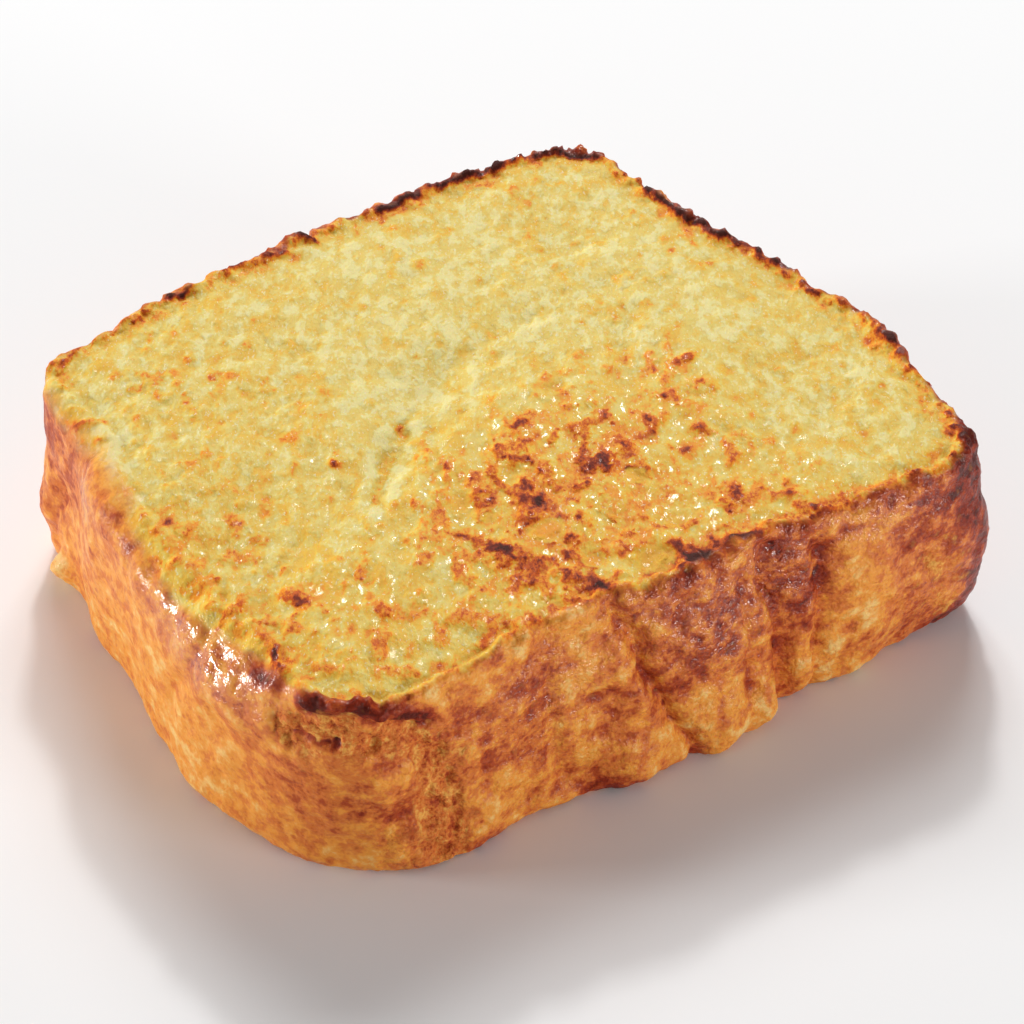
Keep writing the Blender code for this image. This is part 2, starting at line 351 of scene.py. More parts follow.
def length(name, default, description):
    """A setting that is a length."""
    return bpy.props.FloatProperty(
        name=name, default=default, description=description, unit="LENGTH", subtype="DISTANCE", precision=5
    )


def colour(name, default, description):
    """A setting that is a colour."""
    return bpy.props.FloatVectorProperty(
        name=name, default=default, description=description, size=3, subtype="COLOR", min=0.0, max=1.0
    )


def light_power(name, default, description):
    """A setting that is a light's power."""
    return bpy.props.FloatProperty(name=name, default=default, description=description, unit="POWER")


class ToastForm(bpy.types.PropertyGroup):
    """Sizes of the slice."""

    width: length("Width", 99.0 * MM, "Across the loaf, side crust to side crust, before swellings")
    length: length("Length", 116.0 * MM, "From the dome to the base crust, before swellings")
    thickness: length("Thickness", 33.5 * MM, "How thick the slice was cut")
    taper: length("Taper", 2.5 * MM, "Half width gained towards the base and lost towards the dome")
    top_edge: length("Top edge", 1.2 * MM, "Rounding of the cut edge above")
    dome_roll: length("Dome roll", 3.4 * MM, "Further rounding above the domed crust")
    low_edge: length("Low edge", 2.4 * MM, "Rounding of the edge below")
    crumb_relief: length("Crumb relief", 0.13 * MM, "Height of the spongy crumb's bumps")
    hole_depth: length("Pore depth", 0.11 * MM, "Depth of the small pores of the crumb")
    rim_relief: length("Rim relief", 0.75 * MM, "Height of the crisp nubs along the cut edge")
    crust_relief: length("Crust relief", 0.30 * MM, "Height of the wrinkles of the side crusts")


class ToastColours(bpy.types.PropertyGroup):
    """Colours of the slice, in the order of browning."""

    # the colour of the painted glints, white specks on the crumb
    crumb_glint_white: colour("Painted glint specks", (0.84, 0.76, 0.47), "The palest specks of the crumb")
    crumb_cream: colour("Crumb fibres", (0.81, 0.70, 0.29), "The lightest, driest fibres of the crumb")
    crumb_pale: colour("Pale crumb", (0.77, 0.575, 0.138), "Egg-soaked crumb that the pan didn't colour")
    crumb_gold: colour("Golden crumb", (0.79, 0.475, 0.058), "Crumb that began to colour")
    crumb_tan: colour("Tan crumb", (0.82, 0.29, 0.019), "Lightly fried crumb")
    crumb_brown: colour("Brown crumb", (0.60, 0.105, 0.009), "Well browned crumb")
    crumb_dark: colour("Dark crumb", (0.22, 0.022, 0.008), "Scorched crumb")
    crumb_char: colour("Charred crumb", (0.055, 0.005, 0.003), "The darkest spots")
    crust_pale: colour("Pale crust", (0.84, 0.52, 0.17), "Crust at the foot, shaded in the tin")
    crust_gold: colour("Golden crust", (0.79, 0.305, 0.045), "Lightly baked crust")
    crust_orange: colour("Orange crust", (0.63, 0.168, 0.032), "The crust's main colour")
    crust_red: colour("Red-brown crust", (0.40, 0.061, 0.013), "Well baked crust")
    crust_dark: colour("Dark crust", (0.235, 0.020, 0.006), "Crust along the rim")
    crust_char: colour("Charred crust", (0.090, 0.006, 0.003), "The rim's darkest nubs")
    torn: colour("Torn crumb", (0.80, 0.39, 0.085), "Dry crumb inside the tear")
    gold_pool: colour("Custard pools", (0.80, 0.50, 0.060), "Set egg in the hollows of the crumb")


class StageSettings(bpy.types.PropertyGroup):
    """Camera, lights and floor."""

    lens: bpy.props.FloatProperty(
        name="Lens", default=105.5, description="Focal length on a 36 mm sensor", subtype="DISTANCE_CAMERA"
    )
    floor: colour("Floor", (0.90, 0.90, 0.90), "Colour of the floor")
    key: light_power("Key light", 29.0, "The broad light, high behind the slice")
    glint: light_power("Glint light", 16.0, "The small bright light that the glaze reflects")
    side: light_power("Side light", 5.8, "The low light in front of the dome")
    fill: light_power("Fill light", 4.6, "The low light beside the slice")
    sky: bpy.props.FloatProperty(name="Sky", default=0.26, description="Strength of the even light", min=0.0)


def bell(distance, spread):
    """1 at no distance, falling smoothly to nothing over about twice the spread."""
    return np.exp(-((distance / spread) ** 2))


def ramp(value, low, high):
    """0 below low, 1 above high, smooth between."""
    share = np.clip((value - low) / (high - low), 0.0, 1.0)
    return share * share * (3.0 - 2.0 * share)


def turn(bearing, at):
    """Degrees from one bearing to another, the short way round."""
    return (bearing - at + 180.0) % 360.0 - 180.0


def stretch(bearing, limits):
    """1 between the inner two of four bearings, falling to 0 at the outer two."""
    start, full, fading, end = limits
    return ramp(bearing, start, full) * (1 - ramp(bearing, fading, end))


def swelling(bearing, swells):
    """Sum of the (bearing, spread, size) swellings at these bearings."""
    return sum(size * bell(turn(bearing, at), spread) for at, spread, size in swells)


def patches(bearing, height, blobs):
    """Sum of the (bearing, height, spread, spread, amount) patches on the crust."""
    return sum(
        amount * bell(turn(bearing, at), wide) * bell(height - up, tall)
        for at, up, wide, tall, amount in blobs
    )


def fractal(points, grain, octaves=2):
    """Smooth unevenness of this grain size, between about -1 and 1."""
    spots = (points / grain).tolist()
    return np.array([noise.fractal(p, 1.0, 2.0, octaves, noise_basis="PERLIN_ORIGINAL") for p in spots])


def ridges(points, grain, octaves=3):
    """Sharp-crested unevenness, 0 in the hollows and 1 on the crests."""
    total = np.zeros(len(points))
    share = 1.0
    for octave in range(octaves):
        layer = fractal(points * 2**octave + 7.3 * octave * MM, grain, 1)
        total += share * (1.0 - 2.0 * np.abs(layer))
        share *= 0.5
    return np.clip(total / (2.0 - 0.5 ** (octaves - 1)), 0.0, 1.0)


def cells(points, grain):
    """Distance from the nearest of points scattered about this far apart, in grains."""
    return np.array([noise.voronoi(p)[0][0] for p in (points / grain).tolist()])


def along_grain(points):
    """The points, drawn together along the crumb's grain, so that what is read there is longer."""
    angle = math.radians(GRAIN_BEARING)
    along = (points[:, 0] * math.cos(angle) + points[:, 1] * math.sin(angle)) / GRAIN_LENGTH
    across = points[:, 1] * math.cos(angle) - points[:, 0] * math.sin(angle)
    return np.stack([along, across, points[:, 2]], axis=1)


def distance_to_path(x, y, path):
    """Distance from the path, a run of straight legs."""
    best = np.full(len(x), np.inf)
    for (ax, ay), (bx, by) in zip(path, path[1:]):
        across, up = bx - ax, by - ay
        along = np.clip(((x - ax) * across + (y - ay) * up) / (across**2 + up**2), 0.0, 1.0)
        best = np.minimum(best, np.hypot(x - ax - along * across, y - ay - along * up))
    return best


def outline(bearing, form):
    """Distance from the middle to the edge of the cut face, in plan."""
    angle = np.radians(bearing)
    towards_base = np.sin(angle)
    half_width = form.width / 2 + form.taper * towards_base
    power = 5.4 + 2.0 * ramp(towards_base, -0.5, 0.5)
    across = np.abs(np.cos(angle) / half_width) ** power
    along = np.abs(towards_base / (form.length / 2)) ** power
    return (across + along) ** (-1.0 / power) + swelling(bearing, OUTLINE_SWELLS)


def crease_depth(bearing, height, sharpness=1.0):
    """How deep the creases cut the crust."""
    depth = 0.0
    for top, low, half_width, most, start, end in CREASES:
        at = low + (top - low) * height
        shown = ramp(height, start - 0.08, start + 0.08) * (1 - ramp(height, end - 0.10, end + 0.10))
        depth += most * shown * bell(turn(bearing, at), half_width / sharpness)
    return depth


def path_on_crust(bearing, up, reach, path):
    """Distance along the crust from a path of bearings and heights in mm."""
    distance = np.full(len(bearing), np.inf)
    near = np.abs(turn(bearing, path[0][0])) < 40
    x, y = np.radians(bearing[near]) * reach[near], up[near]
    unrolled = [(math.radians(at) * reach[near], height * MM) for at, height in path]
    distance[near] = distance_to_path(x, y, unrolled)
    return distance


def grid_box(name, counts):
    """A box primitive, cut into a grid along each axis."""
    bpy.ops.mesh.primitive_cube_add(size=2.0)
    box = bpy.context.object
    box.name = box.data.name = name
    mesh = bmesh.new()
    mesh.from_mesh(box.data)
    for axis, count in enumerate(counts):
        edges = [e for e in mesh.edges if abs((e.verts[0].co - e.verts[1].co)[axis]) > 1e-6]
        bmesh.ops.subdivide_edges(mesh, edges=edges, cuts=count - 1, use_grid_fill=True)
    mesh.to_mesh(box.data)
    mesh.free()
    return box


def read_points(mesh):
    """The places of the mesh's points, one row each."""
    points = np.empty(len(mesh.vertices) * 3)
    mesh.vertices.foreach_get("co", points)
    return points.reshape(-1, 3)


def write_points(mesh, points):
    """Moves the mesh's points to these places."""
    mesh.vertices.foreach_set("co", points.ravel())
    mesh.update()


def store(mesh, name, values):
    """Keeps a number for every point, for the material to read."""
    layer = mesh.attributes.new(name, "FLOAT", "POINT")
    layer.data.foreach_set("value", np.asarray(values, dtype=np.float32))


class Slice:
    """The slice's surface: where each point of the box goes, and what is there."""

    def __init__(self, box_points, form):
        # the points lie closer together towards the sides of the box
        crowding = 0.10
        u = box_points[:, 0] * (1 + crowding - crowding * box_points[:, 0] ** 2)
        v = box_points[:, 1] * (1 + crowding - crowding * box_points[:, 1] ** 2)
        ring = np.maximum(np.abs(u), np.abs(v))
        self.form = form
        self.bearing = np.degrees(np.arctan2(v * form.length, u * form.width))
        self.reach = outline(self.bearing, form)
        side = ring > 1.0 - 1e-6
        above = box_points[:, 2] > 0
        self.top_edge = form.top_edge + form.dome_roll * stretch(self.bearing, DOME_ROLL)
        inset, height, run, wall = self.edge_profile((1.0 - box_points[:, 2]) / 2.0)
        inset = np.where(side, inset, np.where(above, self.top_edge, form.low_edge))
        height = np.where(side, height, np.where(above, form.thickness, 0.0))
        self.height = height / form.thickness
        self.up = self.height * form.thickness
        towards = np.radians(self.bearing)
        self.out = np.stack([np.cos(towards), np.sin(towards), np.zeros(len(u))], axis=1)
        rim_radius = self.reach + self.crust_offset() - inset
        radius = rim_radius * np.minimum(ring, 1.0)
        self.points = self.out * radius[:, None] + (*HUB, 0.0)
        self.points[:, 2] += height
        inside = rim_radius - radius
        # distance down the crust from the cut face's edge, and up it from the underside's edge,
        # less than nothing on those faces
        self.run = np.where(side, run, np.where(above, -inside, wall + inside))
        self.rise = wall - self.run
        self.x, self.y = self.points[:, 0] / MM, self.points[:, 1] / MM
        self.points[:, 2] += self.face_relief(inside)

    def edge_profile(self, share):
        """(inset, height, distance down, whole distance) at this share of the way down the crust."""
        form = self.form
        top_arc = math.pi / 2 * self.top_edge
        low_arc = math.pi / 2 * form.low_edge
        wall = form.thickness - self.top_edge - form.low_edge
        whole = top_arc + wall + low_arc
        run = share * whole
        top_angle = np.clip(run / self.top_edge, 0.0, math.pi / 2)
        low_angle = np.clip((whole - run) / form.low_edge, 0.0, math.pi / 2)
        inset = self.top_edge * (1 - np.sin(top_angle)) + form.low_edge * (1 - np.sin(low_angle))
        height = np.where(
            run < top_arc,
            form.thickness - self.top_edge * (1 - np.cos(top_angle)),
            np.where(
                run < top_arc + wall,
                form.thickness - self.top_edge - (run - top_arc),
                form.low_edge * (1 - np.cos(low_angle)),
            ),
        )
        return inset, height, run, whole

    def crust_offset(self):
        """How far the crust stands out of the plain outline."""
        bearing, height = self.bearing, self.height
        rim = self.out * self.reach[:, None] + (*HUB, 0.0)
        rim[:, 2] += self.up
        belly = (BELLY + swelling(bearing, BELLY_SWELLS)) * np.sin(math.pi * height) ** 0.8
        foot = (FOOT + swelling(bearing, FOOT_SWELLS)) * (1 - height)
        bulge = patches(bearing, height, BULGES)
        self.tear = np.zeros(len(bearing))
        uneven = 1.6 * MM * fractal(rim, 3.0 * MM, 2)
        for path, openness in zip(TEARS, TEAR_OPENNESS):
            away = path_on_crust(bearing, self.up, self.reach, path) + uneven
            self.tear = np.maximum(self.tear, openness * bell(np.maximum(away, 0.0), TEAR_WIDTH))
        rough = 1.0 + 0.9 * fractal(rim, 2.5 * MM, 1)
        self.wander = bearing + 1.6 * fractal(rim, 7.0 * MM, 2)
        cuts = crease_depth(self.wander, height) + 1.3 * MM * rough * self.tear
        at, spread = CALM_END
        self.calm = 1 - 0.75 * bell(turn(bearing, at), spread)
        crags = self.calm * ramp(height, 0.86, 0.97) * 0.9 * MM * fractal(rim, 3.6 * MM)
        at, half_width, most = NICK
        nick = most * bell(turn(bearing, at), half_width) * ramp(height, 0.7, 0.9)
        lumps = 0.75 * MM * fractal(rim, 13.0 * MM)
        return belly + foot + bulge - cuts + crags - nick + lumps

    def face_relief(self, inside):
        """Height of the cut face above its plain level."""
        flat = self.points * (1, 1, 0)
        x, y = FOLD_MIDDLE
        fading = 1 - ramp(np.hypot(self.x - x, self.y - y), 10.0, 30.0)
        x, y, spread = PAN_PATCH
        relief = 0.9 * MM * bell(np.hypot(self.x - x, self.y - y), spread)
        relief -= 0.9 * MM * fading * bell(distance_to_path(self.x, self.y, FOLD), 3.6)
        relief -= 0.3 * MM * (1 - ramp(inside, 0.0, 9 * MM)) * ramp(inside, 0.0, 1.2 * MM)
        relief += 0.8 * MM * fractal(flat, 24.0 * MM) + 0.35 * MM * fractal(flat, 5.5 * MM)
        rim = 0.9 * MM * self.calm * fractal(flat, 3.6 * MM) + swelling(self.bearing, RIM_RISE)
        relief += (1 - ramp(inside, 0.0, 3.0 * MM)) * rim
        return relief * ramp(self.height, 0.55, 0.95)

    def scorch(self, wobble):
        """How dark the griddle marks are, ragged by the wobble (mm)."""
        darkest, halo = np.zeros(len(self.x)), np.zeros(len(self.x))
        for x, y, half_length, half_width, at, dark in SCORCHES:
            angle = math.radians(at)
            along = (self.x - x) * math.cos(angle) + (self.y - y) * math.sin(angle)
            across = (self.y - y) * math.cos(angle) - (self.x - x) * math.sin(angle)
            away = np.hypot(along / (half_length + 0.3), across / (half_width + 0.3)) + 0.55 * wobble
            darkest = np.maximum(darkest, 0.84 * dark * (1 - ramp(away, 0.35, 0.95)))
            halo = np.maximum(halo, (0.30 + 0.16 * dark) * (1 - ramp(away, 0.8, 1.9)))
        return np.maximum(darkest, halo)

    def along_path(self, path, spread, unevenness, lower=0.0):
        """1 on the path over the crust, lowered by this much, and 0 well beside it."""
        away = path_on_crust(self.bearing, self.up + lower, self.reach, path)
        return bell(np.maximum(away + unevenness * self.ragged, 0.0), spread)

    def part_crumb_from_crust(self):
        """Where the crumb ends and the crust begins, and the lip, crack and singed edge between them."""
        bearing = self.bearing
        self.ragged = fractal(self.points, 4.0 * MM, 3)
        self.on_top = np.where(self.run < self.rise, 1.0, 0.0)
        self.dome = stretch(bearing, DOME)
        at, spread = SOFT_END
        self.soft_end = bell(turn(bearing, at), spread)
        crumb_end = MM * np.interp(bearing, *zip(*CRUST_START), left=0.3, right=0.3)
        past_end = self.run - crumb_end + 1.0 * MM * self.ragged
        top_crumb = 1 - ramp(past_end, -(0.5 + 3 * self.soft_end) * MM, (0.6 + 3 * self.soft_end) * MM)
        low_crumb = 1 - ramp(self.rise - 0.8 * MM + 1.2 * MM * self.ragged, -0.5 * MM, 0.7 * MM)
        self.lip = self.along_path(LIP, 1.3 * MM, 0.7 * MM) * (1 - ramp(-self.run, 0.2 * MM, 1.0 * MM))
        self.under_lip = self.along_path(LIP, 1.0 * MM, 0.0, 2.0 * MM) * (1 - self.lip)
        self.crack = self.along_path(LIP_CRACK, 0.5 * MM, 0.9 * MM)
        self.singed = self.along_path(SINGED, 0.9 * MM, 0.5 * MM)
        self.crumb = np.maximum(top_crumb, low_crumb) * (1 - ramp(self.lip, 0.25, 0.5))

    def open_crumb(self):
        """The crumb's sponge, pores, holes and crevice."""
        x, y, points, ragged = self.x, self.y, self.points, self.ragged
        grain = along_grain(points)
        self.sponge = fractal(grain, 1.5 * MM, 3)
        clumps = fractal(grain, 3.6 * MM, 2)
        self.grit = fractal(grain, 1.3 * MM, 2)
        pores = ramp(0.42 - cells(grain, 1.9 * MM), 0.0, 0.34)
        self.pores = pores * ramp(fractal(points, 6.0 * MM), -0.25, 0.25)
        self.holes, self.walls = np.zeros(len(x)), np.zeros(len(x))
        for hole_x, hole_y, radius, depth in HOLES:
            away = np.hypot(x - hole_x, (y - hole_y) * 0.85) / radius + 0.25 * ragged
            self.holes = np.maximum(self.holes, depth * (1 - ramp(away, 0.35, 1.1)))
            self.walls = np.maximum(self.walls, depth * bell(away - 1.35, 0.25))
        self.holes *= self.on_top
        wavy_x, wavy_y = x + 1.0 * ragged + 0.5 * self.sponge, y + 1.0 * clumps + 0.5 * ragged
        from_crevice = distance_to_path(wavy_x, wavy_y, CREVICE)
        self.crevice = self.on_top * bell(from_crevice, 0.7) * ramp(ragged + clumps, -1.0, 0.1)
        self.fold_crest = self.on_top * bell(from_crevice - 2.2, 1.2)

    def fry_crumb(self):
        """How the pan pressed and browned the cut faces, most on the crests and at the griddle marks, with
        painted shade in the fold's crevice and a painted highlight on its crest.
        """
        points, grain = self.points, along_grain(self.points)
        pressed = sum(
            amount * bell(np.hypot(self.x - x, self.y - y), spread) for x, y, spread, amount in BROWNING
        )
        pressed = np.where(self.on_top > 0, pressed, 0.22 + 0.3 * fractal(points, 30 * MM))
        self.pressed = pressed = np.clip(0.16 + pressed, 0.0, 1.0)
        mottle = 0.8 * fractal(grain, 2.6 * MM, 3) + 0.5 * fractal(points, 10.0 * MM)
        wobble = fractal(grain, 1.3 * MM, 3)
        self.scorched = self.scorch(1.1 * wobble) * self.on_top * (1 - 0.6 * np.clip(self.holes * 1.4, 0, 1))
        self.crests = ramp(mottle + 0.35 * self.sponge, 0.40 - 0.75 * pressed, 0.72 - 0.75 * pressed)
        # painted shade: darker in the fold's crevice; painted highlight: lighter on the crest beside it
        self.fried = 0.53 * pressed + 0.22 * self.crevice - 0.14 * self.fold_crest
        self.fried += 0.26 * self.crests * (0.6 + pressed) - 0.08 * self.walls * self.on_top

    def crisp_edge(self):
        """The edge of the cut faces, golden inwards and burnt at its nubs."""
        self.from_edge = np.minimum(np.abs(self.run), np.abs(self.rise))
        edge = swelling(self.bearing, EDGE_BROWNING) * self.on_top + 0.4 * (1 - self.on_top)
        self.edge = edge = edge * (0.75 + 0.9 * fractal(self.points, 11.0 * MM))
        near_edge = 1 - ramp(self.from_edge - 0.8 * MM * self.ragged, 0.2 * MM, 1.7 * MM)
        self.nubs = near_edge * self.calm * ramp(self.grit, -0.25, 0.45) * np.clip(0.3 + edge, 0.0, 1.0)
        self.burnt = near_edge * ramp(edge + 0.4 * self.grit, 0.15, 0.60)

    def wrinkle_crust(self):
        """Wrinkles on the sides, and a smooth blistered skin on the dome."""
        points = self.points
        sway = np.stack([fractal(points + shift, 8.0 * MM) for shift in (0.0, 0.1, 0.2)], axis=1)
        warped = points + 2.2 * MM * sway
        self.folds = ridges(warped * (1.0, 1.0, 1.5), 6.5 * MM)
        self.wrinkles = ridges(warped * (1.0, 1.0, 2.6), 3.6 * MM, 2)
        self.lumps = fractal(warped, 5.0 * MM, 2)
        self.leather = fractal(points, 1.5 * MM, 3)
        self.blisters = ramp(0.30 - cells(points, 2.0 * MM), 0.0, 0.22)
        self.creased = crease_depth(self.wander, self.height, 2.6)
        self.glossy = patches(self.bearing, self.height, GLOSSY)
        self.tin_side = (1 - self.crumb) * (1 - self.dome)

    def relief(self):
        """How far all of that stands out of the plain slice, along its normals."""
        form, crumb, crust = self.form, self.crumb, 1 - self.crumb
        pores = form.hole_depth * self.pores * (1 - 0.5 * self.pressed)
        lift = crumb * (form.crumb_relief * self.sponge - pores)
        lift -= crumb * MM * (0.25 * self.holes + 0.40 * self.crevice - 0.20 * self.fold_crest)
        lift += crumb * MM * (0.45 * self.scorched * (1 + 0.5 * self.grit) + 0.16 * self.crests)
        lift += form.rim_relief * self.nubs + 0.40 * MM * self.lip * (1 + 1.4 * self.grit)
        wrinkled = 1.5 * self.lumps + 1.2 * (self.folds - 0.6) + (0.5 + self.glossy) * (self.wrinkles - 0.6)
        wrinkled = form.crust_relief * wrinkled + 0.10 * MM * self.leather - 0.25 * self.creased
        lift += self.tin_side * wrinkled
        skin = 0.24 * self.lumps + 0.05 * self.leather + 0.06 * self.blisters + 0.22 * (self.wrinkles - 0.6)
        lift += crust * self.dome * MM * skin
        lift += self.tear * crust * 0.6 * MM * (self.sponge - self.pores)
        lift -= (self.crack * 0.6 + self.under_lip * 0.7) * MM
        # the underside lies flat, so its relief only goes in
        floor = 1 - ramp(self.height, 0.0, 0.04)
        return np.where(floor > 0.5, -np.abs(lift) - 0.02 * MM, lift)

    def looks(self):
        """What the material reads at each point: how browned, baked, wet and torn it is; the browning and
        baking also carry painted shade in creases, cracks and hollows, and a painted highlight on the fold's
        crest.
        """
        on_top, edge, soft_end = self.on_top, self.edge, self.soft_end
        unsinged = (1 - self.singed) * (1 - self.lip)
        golden = swelling(self.bearing, GOLDEN_EDGE) * on_top
        fringe = 1 - ramp(self.from_edge + 1.0 * MM * self.ragged, 0.8 * MM, 3.2 * MM)
        band_width = 5.5 * MM + 20 * MM * golden * soft_end
        band = 1 - ramp(self.from_edge + 2.0 * MM * self.ragged, 0.6 * MM, band_width)
        toast = np.maximum(self.fried, np.maximum(self.scorched, 0.85 * self.singed))
        toast += 0.30 * edge * fringe + 0.56 * self.burnt + 0.15 * self.nubs
        toast += band * (0.13 - 0.26 * soft_end + 0.22 * edge + golden)
        bake = BAKED_EVENLY + patches(self.bearing, self.height, BAKED) - 0.12 * self.dome
        bake += 0.34 * edge * (1 - ramp(self.run + 1.2 * MM * self.ragged, 0.6 * MM, 4.0 * MM))
        # painted shade: darker in the crack and in the recess under the lip; the lip and the singed edge are
        # dark in themselves
        bake += 0.45 * self.crack + 0.70 * self.lip + 0.45 * self.singed + 0.5 * self.under_lip
        # painted shade: the side crusts darker in the hollows between folds and lumps and in the creases,
        # lighter on the ridges
        bake += self.tin_side * (0.16 * (0.6 - self.folds) - 0.12 * self.lumps) + 0.10 * self.creased / MM
        return {
            "crumb": self.crumb,
            "toast": toast,
            "bake": bake,
            "dome": self.dome,
            # darker amber in the pores and holes: partly the soaked crumb's own tint, partly painted warm
            # shade
            "hollow": 0.7 * self.pores + self.holes,
            "pool": self.holes * np.clip(2 * self.pressed, 0, 1),
            "pressed": self.pressed,
            "tear": self.tear * (1 - self.crack) * (1 - self.lip),
            "gloss": (0.07 + self.glossy) * unsinged,
        }


def dress(mesh, box_points, form):
    """Moves the box's points to the slice, adds the fine relief, and stores what the material reads."""
    s = Slice(box_points, form)
    write_points(mesh, s.points)
    middle = (s.points.min(axis=0) + s.points.max(axis=0)) / 2
    normals = np.empty(len(s.points) * 3)
    mesh.vertices.foreach_get("normal", normals)
    s.part_crumb_from_crust()
    s.open_crumb()
    s.fry_crumb()
    s.crisp_edge()
    s.wrinkle_crust()
    points = s.points + normals.reshape(-1, 3) * s.relief()[:, None] - (middle[0], middle[1], 0.0)
    # the tallest crags are held down, to less than a millimetre over the solid's top
    crag = points[:, 2] - SOLID_BOX[1][2] - 0.25 * MM
    points[:, 2] -= 0.6 * np.maximum(crag, 0.0)
    points[:, 2] = np.maximum(points[:, 2], 0.0)
    write_points(mesh, points)
    for name, values in s.looks().items():
        store(mesh, name, np.clip(values, 0, 1))


class Nodes:
    """Short calls that add shader nodes and join them."""

    def __init__(self, tree):
        self.tree = tree
        self.count = 0
        self.position = self.new("ShaderNodeTexCoord").outputs["Object"]

    def new(self, kind, inputs=None, **settings):
        """A node with these settings and inputs, in the next place in rows of twelve."""
        node = self.tree.nodes.new(kind)
        for name, value in settings.items():
            setattr(node, name, value)
        for name, value in (inputs or {}).items():
            self.put(node.inputs[name], value)
        node.location = (220 * (self.count % 12) - 2600, 600 - 260 * (self.count // 12))
        self.count += 1
        return node

    def put(self, socket, value):
        """Joins an output to the socket, or sets its value."""
        if isinstance(value, bpy.types.NodeSocket):
            self.tree.links.new(value, socket)
        else:
            socket.default_value = value

    def kept(self, name):
        """A number stored with the mesh."""
        return self.new("ShaderNodeAttribute", attribute_name=name).outputs["Fac"]

    def noise(self, grain, detail, rough, position=None, output="Fac"):
        """Soft unevenness of this grain size, about 0.5."""
        place = position or self.position
        inputs = {"Vector": place, "Scale": 1.0 / grain, "Detail": detail, "Roughness": rough}
        return self.new("ShaderNodeTexNoise", inputs).outputs[output]

    def cells(self, grain, position):
        """Scattered points: how far the nearest is, and a random colour of its own."""
        return self.new("ShaderNodeTexVoronoi", {"Vector": position, "Scale": 1.0 / grain})

    def maths(self, operation, a, b=0.0):
        return self.new("ShaderNodeMath", {0: a, 1: b}, operation=operation).outputs[0]

    def times(self, a, b):
        return self.maths("MULTIPLY", a, b)

    def fit(self, value, low, high, to_low=0.0, to_high=1.0, smooth=True):
        """The value carried from one range to another, along an S or a line, and held at its ends."""
        inputs = {"Value": value, "From Min": low, "From Max": high, "To Min": to_low, "To Max": to_high}
        line = "SMOOTHSTEP" if smooth else "LINEAR"
        return self.new("ShaderNodeMapRange", inputs, interpolation_type=line).outputs["Result"]

    def even(self, value, low, high, to_low=0.0, to_high=1.0):
        """As fit, but along a straight line."""
        return self.fit(value, low, high, to_low, to_high, False)

    def between(self, share, at_none, at_all):
        """From one value to another as the share goes from 0 to 1."""
        return self.even(share, 0.0, 1.0, at_none, at_all)

    def either_way(self, noise, most):
        """The noise as a change of at most this much, up or down."""
        return self.even(noise, 0.3, 0.7, -most, most)

    def blend(self, share, a, b, kind="RGBA"):
        node = self.new("ShaderNodeMix", data_type=kind)
        sockets = {socket.name: socket for socket in node.inputs if socket.enabled}
        self.put(sockets["Factor"], share)
        self.put(sockets["A"], a)
        self.put(sockets["B"], b)
        return next(socket for socket in node.outputs if socket.enabled)

    def shades(self, value, stops, colours):
        """The colour at this value, through the colours at their stops."""
        node = self.new("ShaderNodeValToRGB")
        scale = node.color_ramp
        scale.interpolation = "EASE"
        while len(scale.elements) < len(stops):
            scale.elements.new(0.5)
        for element, stop, shade in zip(scale.elements, stops, colours):
            element.position = stop
            element.color = (*shade, 1.0)
        self.put(node.inputs["Fac"], value)
        return node.outputs["Color"]

    def bump(self, height, depth):
        inputs = {"Strength": 1.0, "Distance": depth, "Height": height}
        return self.new("ShaderNodeBump", inputs).outputs["Normal"]


def rgba(colour_value):
    """The colour with its opacity."""
    return (*colour_value, 1.0)


def stretched(n, bearing, lengths):
    """The position, drawn out by these factors along the bearing, across it and upwards."""
    inputs = {"Vector": n.position, "Rotation": (0.0, 0.0, math.radians(bearing)), "Scale": lengths}
    return n.new("ShaderNodeMapping", inputs, vector_type="TEXTURE").outputs["Vector"]


def total(n, *parts):
    """The sum of these values."""
    result = parts[0]
    for part in parts[1:]:
        result = n.maths("ADD", result, part)
    return result


